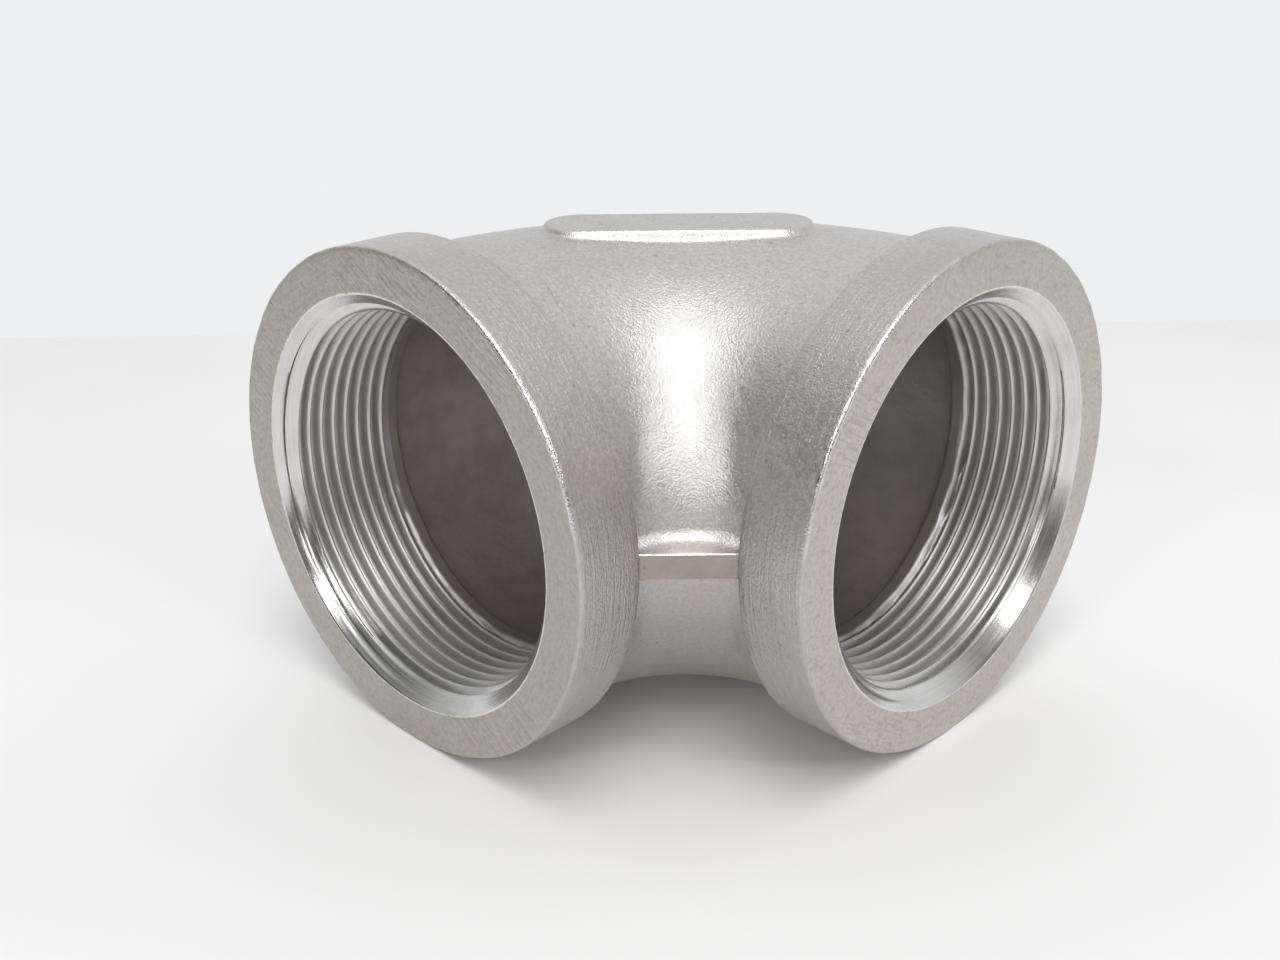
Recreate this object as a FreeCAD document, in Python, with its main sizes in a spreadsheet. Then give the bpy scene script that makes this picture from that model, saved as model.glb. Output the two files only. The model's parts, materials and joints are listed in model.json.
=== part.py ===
import FreeCAD, Part
import math
import os

import Sketcher

# Two inch female threaded elbow, 90 degrees, one stainless steel casting.
# Body frame: origin where the two port axes cross, +X out of one port, -Y out of the
# other, +Z up. The body's Placement then puts the origin at the middle of the
# footprint, on the surface that the two collars rest on.

doc = FreeCAD.newDocument("threaded_elbow")

# ---------------------------------------------------------------- driving sizes
sheet = doc.addObject("Spreadsheet::Sheet", "sizes")
ROWS = [
    ("centre_to_end", 57.15, "port axes crossing to each end face"),
    ("band_radius", 37.63, "outside radius of each collar"),
    ("band_length", 10.5, "length of each collar along its axis"),
    ("body_radius", 35.1, "outside radius of the bend"),
    ("bend_radius", 42.0, "centreline radius of the bend"),
    ("cavity_radius", 31.1, "inside radius of the bend"),
    ("cast_bore_radius", 27.6, "as-cast hole behind each thread"),
    ("thread_wall_radius", 28.0, "mean minor radius of the taper thread"),
    ("thread_depth", 19.0, "face to the end of the thread"),
    ("boss_depth", 21.6, "face to the inner shoulder behind the thread"),
    ("mouth_radius", 31.05, "outer radius of the mouth chamfer"),
    ("web_axis", 54.589, "crossing to the upright line the throat web is turned about, along each port"),
    ("web_reach", 40.5, "that line to the middle of the web's round section"),
    ("web_round", 18.5, "radius of the web's section"),
    ("rib_thickness", 3.7, "height of the throat rib"),
    ("rib_front", 59.27, "crossing to the rib's front face, along the diagonal"),
    ("rib_fillet", 2.0, "concave fillet between the rib and the bend"),
    ("pad_length", 39.2, "marking pad, end to end"),
    ("pad_width", 10.9, "marking pad, across"),
    ("pad_top", 35.95, "height of the pad's flat top over the port axes"),
    ("pad_centre", 19.0, "crossing to the pad's middle, along the diagonal"),
    ("pad_sink", 3.4, "how far the pad runs down into the wall"),
    ("root_fillet", 1.0, "fillet where the bend meets each collar"),
    ("band_edge", 0.4, "rounding of each collar's back edge"),
    ("face_edge", 0.25, "broken edge round each end face"),
    ("shoulder_edge", 0.8, "rounding of the inner shoulder"),
]
for i, (alias, value, note) in enumerate(ROWS, start=1):
    sheet.set("A%d" % i, note)
    sheet.set("B%d" % i, str(value))
    sheet.setAlias("B%d" % i, alias)
doc.recompute()


def val(alias):
    return float(sheet.get(alias))


body = doc.addObject("PartDesign::Body", "elbow_body")
body.Label = "elbow_body"


def plane(role):
    for f in body.Origin.OriginFeatures:
        if f.Role == role:
            return f
    raise LookupError(role)


def sketch_on(role, name, offset=None, spin=0.0):
    """A sketch on one of the body's origin planes. offset is a dict of expressions
    for the attachment's x, y and z."""
    s = body.newObject("Sketcher::SketchObject", name)
    s.AttachmentSupport = [(plane(role), "")]
    s.MapMode = "FlatFace"
    s.AttachmentOffset = FreeCAD.Placement(
        FreeCAD.Vector(0, 0, 0), FreeCAD.Rotation(FreeCAD.Vector(0, 0, 1), spin)
    )
    for axis, text in (offset or {}).items():
        s.setExpression("AttachmentOffset.Base." + axis, text)
    return s


def circle(s, radius, name, centre_x=None):
    """A circle whose radius follows the sheet, at the sketch's origin or left of it."""
    x = -val(centre_x) if centre_x else 0.0
    g = s.addGeometry(
        Part.Circle(FreeCAD.Vector(x, 0, 0), FreeCAD.Vector(0, 0, 1), val(radius)), False
    )
    if centre_x:
        s.addConstraint(Sketcher.Constraint("PointOnObject", g, 3, -1))
        c = s.addConstraint(Sketcher.Constraint("DistanceX", g, 3, -1, 1, val(centre_x)))
        s.renameConstraint(c, name + "_at")
        s.setExpression("Constraints." + name + "_at", "sizes." + centre_x)
    else:
        s.addConstraint(Sketcher.Constraint("Coincident", g, 3, -1, 1))
    c = s.addConstraint(Sketcher.Constraint("Radius", g, val(radius)))
    s.renameConstraint(c, name)
    s.setExpression("Constraints." + name, "sizes." + radius)
    return g


def trace(name):
    bb = body.Shape.BoundBox
    print(name, round(body.Shape.Volume), [round(v, 1) for v in (bb.XMin, bb.YMin, bb.ZMin, bb.XMax, bb.YMax, bb.ZMax)], body.Tip.Name if body.Tip else None, body.Shape.isValid())


def pad(name, sketch, length):
    f = body.newObject("PartDesign::Pad", name)
    f.Profile = sketch
    f.setExpression("Length", length)
    doc.recompute()
    trace(name)
    return f


def pocket(name, sketch, length, reverse):
    """A cut whose volume is checked, because one that points away cuts nothing."""
    before = body.Shape.Volume
    f = body.newObject("PartDesign::Pocket", name)
    f.Profile = sketch
    f.Reversed = reverse
    f.setExpression("Length", length)
    doc.recompute()
    if body.Shape.Volume > before - 1.0:
        raise RuntimeError(name + " cut nothing")
    return f


def check_grew(name, before, least):
    if body.Shape.Volume < before + least:
        raise RuntimeError(name + " added nothing")


def ring_edges(shape, port, dist, radius):
    """Names of the circular edges round a port's axis, this far from the crossing."""
    out = []
    for i, e in enumerate(shape.Edges, start=1):
        c = e.Curve
        if not isinstance(c, Part.Circle) or abs(c.Radius - radius) > 0.02:
            continue
        p = c.Center
        along, other = (-p.y, p.x) if port == "minus_y" else (p.x, p.y)
        if abs(along - dist) < 0.02 and abs(other) < 0.02 and abs(p.z) < 0.02:
            out.append("Edge%d" % i)
    return out


def dress(kind, name, edges, size):
    base = body.Tip
    f = body.newObject("PartDesign::" + kind, name)
    f.Base = (base, edges)
    f.setExpression("Radius" if kind == "Fillet" else "Size", size)
    doc.recompute()
    if "Invalid" in f.State or "Error" in f.State or f.Shape.isNull() or not f.Shape.isValid():
        raise RuntimeError(name + " failed")
    return f


# ---------------------------------------------------------------- the bend, solid
# The section is a circle on a plane through the bend's centre, which lies at
# (bend_radius, -bend_radius); it turns a quarter about the vertical through it.
s = sketch_on("XZ_Plane", "bend_section", {"x": "sizes.bend_radius", "z": "sizes.bend_radius"})
circle(s, "body_radius", "bend_r", "bend_radius")
doc.recompute()
bend = body.newObject("PartDesign::Revolution", "bend")
bend.Profile = s
bend.ReferenceAxis = (s, ["V_Axis"])
bend.Angle = 90.0
doc.recompute()
trace("bend")
if bend.Shape.BoundBox.YMax < 10:
    bend.Reversed = True
    doc.recompute()
trace("bend")

# ---------------------------------------------------------------- necks
# XZ_Plane faces -Y and YZ_Plane faces +X, so both ports pad outwards.
# Each section is spun so that its seam runs down the throat side, as the bend's does.
PORTS = (("minus_y", "XZ_Plane", 0.0), ("plus_x", "YZ_Plane", 180.0))
for port, role, seam in PORTS:
    s = sketch_on(role, "neck_section_" + port, {"z": "sizes.bend_radius"}, seam)
    circle(s, "body_radius", "neck_r")
    pad("neck_" + port, s, "sizes.centre_to_end - sizes.bend_radius")
A = val("centre_to_end")
B = A - val("band_length")

# ---------------------------------------------------------------- throat rib
# A flat web in the plane of the port axes that fills the notch between the collars
# out to a straight front face square to the diagonal.
back = val("centre_to_end") - val("band_length")
reach = val("rib_front") * math.sqrt(2)
s = sketch_on("XY_Plane", "rib_outline", {"z": "-sizes.rib_thickness / 2"})
inner = 24.0
into = 1.0
pts = [
    (reach - back, -back),
    (back, -(reach - back)),
    (back + into, -(reach - back)),
    (back + into, -inner),
    (inner, -inner),
    (inner, -(back + into)),
    (reach - back, -(back + into)),
]
lines = []
for i, (x, y) in enumerate(pts):
    x2, y2 = pts[(i + 1) % len(pts)]
    lines.append(s.addGeometry(Part.LineSegment(FreeCAD.Vector(x, y, 0), FreeCAD.Vector(x2, y2, 0)), False))
for i in range(len(lines)):
    s.addConstraint(Sketcher.Constraint("Coincident", lines[i], 2, lines[(i + 1) % len(lines)], 1))
rib_x = "sizes.rib_front * sqrt(2) - (sizes.centre_to_end - sizes.band_length)"
rib_b = "sizes.centre_to_end - sizes.band_length"
for i, (x, y) in enumerate(pts):
    texts = []
    for v in (x, -y):
        if abs(v - back) < 1e-6:
            texts.append(rib_b)
        elif abs(v - (reach - back)) < 1e-6:
            texts.append(rib_x)
        elif abs(v - back - into) < 1e-6:
            texts.append(rib_b + " + 1")
        else:
            texts.append(None)
    for kind, v, text in (("DistanceX", x, texts[0]), ("DistanceY", -y, texts[1])):
        if kind == "DistanceX":
            c = s.addConstraint(Sketcher.Constraint(kind, -1, 1, lines[i], 1, v))
        else:
            c = s.addConstraint(Sketcher.Constraint(kind, lines[i], 1, -1, 1, v))
        name = "rib_%s_%d" % (kind[-1].lower(), i)
        s.renameConstraint(c, name)
        if text:
            s.setExpression("Constraints." + name, text)
before = body.Shape.Volume
pad("throat_rib", s, "sizes.rib_thickness")
check_grew("throat_rib", before, 50)

# rib to bend: the long edges where the web's two flat sides meet the bend and necks
half_t = val("rib_thickness") / 2
edges = []
for i, e in enumerate(body.Shape.Edges, start=1):
    bb = e.BoundBox
    if abs(abs(bb.ZMin) - half_t) < 0.01 and abs(bb.ZMin - bb.ZMax) < 0.01:
        m = e.CenterOfMass
        mid = e.valueAt((e.FirstParameter + e.LastParameter) / 2)
        in_notch = mid.x > 26 and mid.y < -26 and mid.x < B - 0.01 and mid.y > -B + 0.01
        front = abs((mid.x - mid.y) / math.sqrt(2) - val("rib_front")) < 0.05
        if in_notch and not front:
            edges.append("Edge%d" % i)
dress("Fillet", "rib_root", edges, "sizes.rib_fillet")
trace("rib_root")

# ---------------------------------------------------------------- throat web
# The tight inside corner of the bend is filled by a wide shallow saddle that runs from
# collar to collar: a disc turned a quarter about an upright line beyond the corner.
s = sketch_on("XZ_Plane", "web_section", {"x": "sizes.web_axis", "z": "sizes.web_axis"})
circle(s, "web_round", "web_r", "web_reach")
doc.recompute()
before = body.Shape.Volume
web = body.newObject("PartDesign::Revolution", "throat_web")
web.Profile = s
web.ReferenceAxis = (s, ["V_Axis"])
web.Angle = 90.0
web.Reversed = bend.Reversed
doc.recompute()
trace("throat_web")
check_grew("throat_web", before, 50)
if body.Shape.Volume > before + 2000:
    raise RuntimeError("throat_web turned the wrong way")

# rib to web: the two long edges where the rib's flat sides now rise out of the web
edges = []
for i, e in enumerate(body.Shape.Edges, start=1):
    bb = e.BoundBox
    if abs(abs(bb.ZMin) - half_t) < 0.01 and abs(bb.ZMin - bb.ZMax) < 0.01 and e.Length > 5:
        mid = e.valueAt((e.FirstParameter + e.LastParameter) / 2)
        if 54 < (mid.x - mid.y) / math.sqrt(2) < val("rib_front") - 0.5:
            edges.append("Edge%d" % i)
dress("Fillet", "web_root", edges, "sizes.rib_fillet")
trace("web_root")


# ---------------------------------------------------------------- collars
# Each collar is turned about its port's axis: a cove where it leaves the neck, a back
# face, a rounded back edge, the band, a broken front edge and the flat end face.
band_r, neck_r = val("band_radius"), val("body_radius")
cove, edge, nose = val("root_fillet"), val("band_edge"), val("face_edge")
core = 33.0
AX = "sizes.centre_to_end"
BX = "(sizes.centre_to_end - sizes.band_length)"
CORNERS = [
    (B - cove, core, BX + " - sizes.root_fillet", None),
    (B - cove, neck_r, BX + " - sizes.root_fillet", "sizes.body_radius"),
    (B, neck_r + cove, BX, "sizes.body_radius + sizes.root_fillet"),
    (B, band_r - edge, BX, "sizes.band_radius - sizes.band_edge"),
    (B + edge, band_r, BX + " + sizes.band_edge", "sizes.band_radius"),
    (A - nose, band_r, AX + " - sizes.face_edge", "sizes.band_radius"),
    (A, band_r - nose, AX, "sizes.band_radius - sizes.face_edge"),
    (A, core, AX, None),
]
ARCS = {1: ((B - cove, neck_r + cove), "sizes.root_fillet"), 3: ((B + edge, band_r - edge), "sizes.band_edge")}
for port, role, seam in PORTS:
    along_x = port == "plus_x"

    def at(d, r):
        """Distance along the port's axis and radius, on the sketch."""
        return FreeCAD.Vector(d, -r, 0) if along_x else FreeCAD.Vector(r, -d, 0)

    s = sketch_on("XY_Plane", "collar_profile_" + port)
    ids = []
    for i, (d, r, _, _) in enumerate(CORNERS):
        d2, r2 = CORNERS[(i + 1) % len(CORNERS)][:2]
        if i in ARCS:
            (cd, cr), _ = ARCS[i]
            c, p, q = at(cd, cr), at(d, r), at(d2, r2)
            m = (p + q) * 0.5 - c
            m = c + m * ((p - c).Length / m.Length)
            ids.append(s.addGeometry(Part.Arc(p, m, q), False))
        else:
            ids.append(s.addGeometry(Part.LineSegment(at(d, r), at(d2, r2)), False))
    for i in range(len(ids)):
        n = (i + 1) % len(ids)
        # an arc's two ends are numbered anticlockwise, so each join is found by place
        p = at(*CORNERS[n][:2])
        e1 = 1 if (s.getPoint(ids[i], 1) - p).Length < 1e-6 else 2
        e2 = 1 if (s.getPoint(ids[n], 1) - p).Length < 1e-6 else 2
        s.addConstraint(Sketcher.Constraint("Coincident", ids[i], e1, ids[n], e2))
    for i, (d, r, dt, rt) in enumerate(CORNERS):
        p = at(d, r)
        e = 1 if (s.getPoint(ids[i], 1) - p).Length < 1e-6 else 2
        xt, yt = (dt, rt) if along_x else (rt, dt)
        for kind, text, order, v in (
            ("DistanceX", xt, (-1, 1, ids[i], e), p.x),
            ("DistanceY", yt, (ids[i], e, -1, 1), -p.y),
        ):
            c = s.addConstraint(Sketcher.Constraint(kind, *order, v))
            name = "corner_%s_%d" % (kind[-1].lower(), i)
            s.renameConstraint(c, name)
            if text:
                s.setExpression("Constraints." + name, text)
    for i, (_, text) in ARCS.items():
        c = s.addConstraint(Sketcher.Constraint("Radius", ids[i], val(text.split(".")[1])))
        s.renameConstraint(c, "arc_r_%d" % i)
        s.setExpression("Constraints.arc_r_%d" % i, text)
    doc.recompute()
    before = body.Shape.Volume
    f = body.newObject("PartDesign::Revolution", "collar_" + port)
    f.Profile = s
    f.ReferenceAxis = (s, ["H_Axis" if along_x else "V_Axis"])
    f.Angle = 360.0
    doc.recompute()
    trace("collar_" + port)
    check_grew("collar_" + port, before, 1000)

# ---------------------------------------------------------------- marking pad
# A low flat pad with round ends on the upper cheek of the bend, lying across the
# diagonal. It is blank.
diag = "sizes.pad_centre / sqrt(2)"
s = sketch_on("XY_Plane", "pad_outline", {"x": diag, "y": "-" + diag, "z": "sizes.pad_top - sizes.pad_sink"}, 45.0)
half, r = val("pad_length") / 2, val("pad_width") / 2
run = half - r
V = FreeCAD.Vector
arc_r = Part.ArcOfCircle(Part.Circle(V(run, 0, 0), V(0, 0, 1), r), -math.pi / 2, math.pi / 2)
arc_l = Part.ArcOfCircle(Part.Circle(V(-run, 0, 0), V(0, 0, 1), r), math.pi / 2, 3 * math.pi / 2)
a = s.addGeometry(arc_r, False)
b = s.addGeometry(arc_l, False)
t = s.addGeometry(Part.LineSegment(V(run, r, 0), V(-run, r, 0)), False)
u = s.addGeometry(Part.LineSegment(V(-run, -r, 0), V(run, -r, 0)), False)
for c in (
    Sketcher.Constraint("Tangent", a, 2, t, 1),
    Sketcher.Constraint("Tangent", t, 2, b, 1),
    Sketcher.Constraint("Tangent", b, 2, u, 1),
    Sketcher.Constraint("Tangent", u, 2, a, 1),
    Sketcher.Constraint("Horizontal", t),
    Sketcher.Constraint("PointOnObject", a, 3, -1),
):
    s.addConstraint(c)
c = s.addConstraint(Sketcher.Constraint("Radius", a, r))
s.renameConstraint(c, "pad_end_r")
s.setExpression("Constraints.pad_end_r", "sizes.pad_width / 2")
for g, name, order in ((a, "pad_plus", (-1, 1, a, 3)), (b, "pad_minus", (b, 3, -1, 1))):
    c = s.addConstraint(Sketcher.Constraint("DistanceX", *order, run))
    s.renameConstraint(c, name)
    s.setExpression("Constraints." + name, "(sizes.pad_length - sizes.pad_width) / 2")
before = body.Shape.Volume
pad("marking_pad", s, "sizes.pad_sink")
check_grew("marking_pad", before, 50)

# ---------------------------------------------------------------- bend cavity
s = sketch_on("XZ_Plane", "cavity_section", {"x": "sizes.bend_radius", "z": "sizes.bend_radius"})
circle(s, "cavity_radius", "cavity_r", "bend_radius")
doc.recompute()
before = body.Shape.Volume
cavity = body.newObject("PartDesign::Groove", "bend_cavity")
cavity.Profile = s
cavity.ReferenceAxis = (s, ["V_Axis"])
cavity.Angle = 90.0
cavity.Reversed = bend.Reversed
doc.recompute()
if body.Shape.Volume > before - 1000:
    cavity.Reversed = not bend.Reversed
    doc.recompute()
if body.Shape.Volume > before - 1000:
    raise RuntimeError("the bend cavity cut nothing")

# ---------------------------------------------------------------- inner bosses
# The metal that carries each thread runs on into the bend as a short ring.
for port, role, seam in PORTS:
    s = sketch_on(role, "boss_section_" + port, {"z": "sizes.centre_to_end - sizes.boss_depth"}, seam)
    c_out = s.addGeometry(Part.Circle(V(0, 0, 0), V(0, 0, 1), val("cavity_radius") + 1.6), False)
    s.addConstraint(Sketcher.Constraint("Coincident", c_out, 3, -1, 1))
    c = s.addConstraint(Sketcher.Constraint("Radius", c_out, val("cavity_radius") + 1.6))
    s.renameConstraint(c, "boss_outer_r")
    s.setExpression("Constraints.boss_outer_r", "sizes.cavity_radius + 1.6")
    circle(s, "cast_bore_radius", "boss_inner_r")
    before = body.Shape.Volume
    pad("boss_" + port, s, "sizes.boss_depth - (sizes.centre_to_end - sizes.bend_radius) + 0.5")
    check_grew("boss_" + port, before, 100)

# ---------------------------------------------------------------- bores
# Each sketch lies on its end face and cuts back towards the crossing.
for port, role, seam in PORTS:
    s = sketch_on(role, "cast_bore_section_" + port, {"z": "sizes.centre_to_end"}, seam)
    circle(s, "cast_bore_radius", "cast_r")
    pocket("cast_bore_" + port, s, "sizes.centre_to_end - sizes.bend_radius + 0.6", False)
    s = sketch_on(role, "thread_section_" + port, {"z": "sizes.centre_to_end"}, seam)
    circle(s, "thread_wall_radius", "thread_r")
    pocket("thread_wall_" + port, s, "sizes.thread_depth", False)

# ---------------------------------------------------------------- edges
for port, _, _ in PORTS:
    e = ring_edges(body.Shape, port, A - val("boss_depth"), val("cast_bore_radius"))
    dress("Fillet", "shoulder_edge_" + port, e, "sizes.shoulder_edge")
    trace("shoulder_edge_" + port)
    dress("Chamfer", "mouth_chamfer_" + port,
          ring_edges(body.Shape, port, A, val("thread_wall_radius")),
          "sizes.mouth_radius - sizes.thread_wall_radius")

# ---------------------------------------------------------------- place on the table
# Middle of the footprint at the origin, lowest line of the collars at z = 0.
body.setExpression("Placement.Base.x", "-(sizes.centre_to_end - sizes.band_radius) / 2")
body.setExpression("Placement.Base.y", "(sizes.centre_to_end - sizes.band_radius) / 2")
body.setExpression("Placement.Base.z", "sizes.band_radius")
doc.recompute()

# ---------------------------------------------------------------- checks and files
for obj in doc.Objects:
    if "Invalid" in obj.State or "Error" in obj.State:
        raise RuntimeError("failed object: " + obj.Name)
for part in (body,):
    if part.Shape.isNull() or not part.Shape.isValid() or len(part.Shape.Solids) != 1:
        raise RuntimeError("bad shape: " + part.Label)
    bb = part.Shape.BoundBox
    print(part.Label, "volume mm3 %.0f" % part.Shape.Volume,
          "box", [round(v, 2) for v in (bb.XMin, bb.YMin, bb.ZMin, bb.XMax, bb.YMax, bb.ZMax)])

os.makedirs("parts", exist_ok=True)
for part in (body,):
    part.Shape.exportStep("parts/" + part.Label + ".step")
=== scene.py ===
import json
import math

import bpy
import numpy as np
from mathutils import Matrix, Vector, noise

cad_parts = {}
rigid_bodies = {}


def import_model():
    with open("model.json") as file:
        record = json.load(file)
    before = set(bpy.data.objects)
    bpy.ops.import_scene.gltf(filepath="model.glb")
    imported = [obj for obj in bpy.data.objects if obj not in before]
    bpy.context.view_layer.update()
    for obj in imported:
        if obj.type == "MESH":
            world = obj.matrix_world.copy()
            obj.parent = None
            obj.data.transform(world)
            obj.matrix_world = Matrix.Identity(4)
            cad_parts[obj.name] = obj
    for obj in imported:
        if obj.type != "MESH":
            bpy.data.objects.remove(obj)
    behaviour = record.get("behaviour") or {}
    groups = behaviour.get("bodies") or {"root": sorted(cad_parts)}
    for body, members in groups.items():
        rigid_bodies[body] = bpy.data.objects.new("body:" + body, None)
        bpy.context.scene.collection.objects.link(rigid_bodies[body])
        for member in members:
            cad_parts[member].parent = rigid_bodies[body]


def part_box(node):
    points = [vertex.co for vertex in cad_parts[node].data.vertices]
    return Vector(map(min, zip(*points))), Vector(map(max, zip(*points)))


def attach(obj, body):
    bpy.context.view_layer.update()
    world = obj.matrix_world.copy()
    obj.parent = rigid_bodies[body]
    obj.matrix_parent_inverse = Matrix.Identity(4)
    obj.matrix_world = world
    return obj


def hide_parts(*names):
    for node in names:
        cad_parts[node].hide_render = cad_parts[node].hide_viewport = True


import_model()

for _o in list(bpy.data.objects):      # the start-up cube, light and camera
    if _o.name in ("Cube", "Light", "Camera"):
        bpy.data.objects.remove(_o, do_unlink=True)

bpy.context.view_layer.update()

# ---------------------------------------------------------------- sizes, mm
A = 57.15            # port crossing to end face
R = 37.63            # collar band radius
BAND = 10.5          # collar length
RB = 35.1            # body tube radius
RC = 42.0            # bend centre line radius
RV = 31.1            # inside of the bend
RBORE = 27.6         # as-cast bore behind the thread
RM = 31.05           # mouth of the 45 degree chamfer
CREST0 = 28.28       # thread crest radius at the face plane
PITCH = 25.4 / 11.5
THREAD = 19.0        # thread depth
BOSS = 21.6          # depth of the inner shoulder
RIB_Z = 1.85
RIB_S = 59.27        # rib front along the diagonal
WEB_S = 55.2         # throat web along the diagonal
WEB_W = 22.0         # its hollow radius from collar to collar
WEB_Z = 0.0275       # how fast it falls away up and down
BACK = A - BAND      # back plane of a collar
S2 = math.sqrt(0.5)
TAU = 2 * math.pi

blo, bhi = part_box("elbow_body")
OFF = np.array([bhi[0] * 1000 - A, blo[1] * 1000 + A, blo[2] * 1000 + R])


def nz(p, scale, seed=0.0):
    """Smooth noise at each point, -1..1; scale is in features per mm."""
    q = np.asarray(p, float) * scale + seed
    return np.array([noise.noise(Vector(v)) for v in q.reshape(-1, 3)]).reshape(q.shape[:-1])


def smooth(x):
    x = np.clip(x, 0, 1)
    return x * x * (3 - 2 * x)


# ---------------------------------------------------------------- rows round the section
def rib_profile(L):
    """Half of the rib's section from its front centre to the body: distance from the body and height."""
    er = 0.2
    rf = min(1.9, 0.62 * (L - er))
    t, z = [L, L, L, L], [0.0, 0.6, 1.15, RIB_Z - er]
    for a in (30, 60, 90):
        t.append(L - er + er * math.cos(math.radians(a)))
        z.append(RIB_Z - er + er * math.sin(math.radians(a)))
    for k in (1, 2, 3, 4):
        t.append((L - er) + (rf - L + er) * k / 5)
        z.append(RIB_Z)
    for a in np.linspace(90, 0, 8):
        t.append(rf - rf * math.cos(math.radians(a)))
        z.append(RIB_Z + rf - rf * math.sin(math.radians(a)))
    t[-1] = 0.0
    return np.array(t), np.array(z)


KR = len(rib_profile(5.0)[0]) - 1          # rows on each side of the rib's middle row
up = list(np.arange(8.0, 69.0, 1.62))
PAD_D = 1.1
pad_mid = math.degrees(math.acos(1.6 / RB))
padrows = [pad_mid + PAD_D * k for k in range(-15, 19)]
up = [a for a in up if a < padrows[0] - 0.8]
rest = list(np.linspace(padrows[-1] + 1.3, 352.0, 116))
BODY = np.radians(np.array(up + padrows + rest))
NBODY = len(BODY)
N = 1 + KR + NBODY + KR
ROW_PAD = 1 + KR + len(up) + 15            # row that runs along the middle of the pad


def body_angles(phit):
    """Body row angles when the rib's fillet ends at phit."""
    a = BODY.copy()
    lim = math.radians(20)
    a0 = math.radians(7.0)
    m = a < lim
    a[m] = phit + (a[m] - a0) * (lim - phit) / (lim - a0)
    m = a > TAU - lim
    a[m] = TAU - (phit + ((TAU - a[m]) - a0) * (lim - phit) / (lim - a0))
    return a


_t, _z = rib_profile(37.17 - 36.1)
_pa = np.arctan2(_z, 36.1 + _t)
COLLAR = np.concatenate([_pa, body_angles(_pa[-1]), TAU - _pa[:0:-1]])
EVEN = np.arange(N) * TAU / N


def mirror(p):
    q = np.empty_like(p)
    q[..., 0], q[..., 1], q[..., 2] = -p[..., 1], -p[..., 0], p[..., 2]
    return q


def ring(ang, d, r):
    """A ring about the -Y port axis, d from the crossing."""
    d = np.broadcast_to(d, ang.shape)
    return np.stack([r * np.cos(ang), -d, r * np.sin(ang)], -1)


def web(p, u):
    """Fills the tight inside corner of the bend to a wide shallow curve from collar to collar."""
    p = np.array(p, float)
    s0 = (p[..., 0] - p[..., 1]) * S2
    w0 = (p[..., 0] + p[..., 1]) * S2
    us, uw = (u[0] - u[1]) * S2, (u[0] + u[1]) * S2
    rho = WEB_W + WEB_Z * p[..., 2] ** 2
    d = np.zeros(s0.shape)
    k = 2.4
    for _ in range(6):
        w = np.clip(w0 + d * uw, -0.98 * WEB_W, 0.98 * WEB_W)
        e = (WEB_S + WEB_W - np.sqrt(rho ** 2 - w ** 2) - s0) / us
        d = np.where(e > k, e, np.where(e < -k, 0.0, (e + k) ** 2 / (4 * k)))
    d = np.where(np.abs(p[..., 2]) < 30, d, 0.0)
    return p + d[..., None] * u


def rib_column(b0, u, w, radius, centre):
    """One column through the rib: b0 throat point, u towards the throat, w place along the rib's front."""
    b0 = web(b0, u)
    mid = np.array([RIB_S * S2, -RIB_S * S2, 0.0])
    f = mid + w * np.array([S2, S2, 0.0])
    e = f - b0
    L = float(np.hypot(e[0], e[1]))
    e = e / L
    t, z = rib_profile(L)
    phit = math.asin(z[-1] / radius)
    a = np.concatenate([[phit], body_angles(phit)])
    body = centre + radius * (np.cos(a)[:, None] * u + np.sin(a)[:, None] * np.array([0, 0, 1.0]))
    throat = (np.cos(a) > 0)[:, None]
    body = np.where(throat, web(body, u), body)
    fall = float((b0 - body[0])[:2] @ u[:2])
    body = body[1:]
    p = b0 + t[:, None] * e - (fall * (z / z[-1]) ** 2 * (1 - t / L))[:, None] * u
    p[:, 2] = z
    low = p[:0:-1].copy()
    low[:, 2] *= -1
    return np.concatenate([p, body, low])


# ---------------------------------------------------------------- outer skin, -Y face to the bend
ex = np.stack([np.cos(COLLAR), np.sin(COLLAR), 0 * COLLAR], -1) * R


def bevel(seed):
    n1 = nz(ex, 0.45, seed)
    n2 = nz(ex, 1.6, seed + 7)
    return 0.33 + 0.15 * n1 + 0.14 * np.maximum(0, n2)


def outer_port(seed):
    """Columns from the end face edge to the start of the bend, for the -Y port."""
    c, g = [], []
    e = bevel(seed)
    wob = 0.05 * nz(ex, 0.07, seed + 3)
    # the turned edge is worn bright all round, and painted brighter as a highlight on the side that faces up and
    # into the corner
    rub_and_highlight = 0.30 + 0.70 * smooth((COLLAR - 0.02) / 0.35) * smooth((1.62 - COLLAR) / 0.5)
    rub_and_highlight = rub_and_highlight * (0.75 + 0.35 * nz(ex, 0.22, seed + 13))

    def add(d, r, wear_and_sheen):
        c.append(ring(COLLAR, d, r + wob))
        g.append(np.clip(wear_and_sheen * rub_and_highlight, 0, 1))
    add(A, R - e - 0.55, 0.0)
    add(A, R - e, 1.0)
    add(A - 0.3 * e, R - 0.3 * e, 1.0)
    add(A - e, R + 0 * e, 1.0)
    add(A - e - 0.55, R, 0.0)
    for d in np.linspace(A - 1.6, BACK + 1.0, 7):
        add(d, R, 0.0)
    er = 0.15
    for a in np.radians((0, 30, 60, 90)):
        add(BACK + er - er * math.sin(a), R - er + er * math.cos(a), 0.1)
    first = None
    for d, r in cove_and_neck():
        s = BACK - d
        b0 = np.array([r, -d, 0.0])
        w = -6.70 + 13.40 * s / STOTAL
        col = rib_column(b0, np.array([1.0, 0, 0]), w, r, np.array([0.0, -d, 0.0]))
        if first is None:
            first = col
            prev = c[-1]
            for q in (0.33, 0.66):
                c.append(prev * (1 - q) + col * q)
                g.append(np.zeros(N))
        c.append(col)
        g.append(np.zeros(N))
    return c, g


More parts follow.
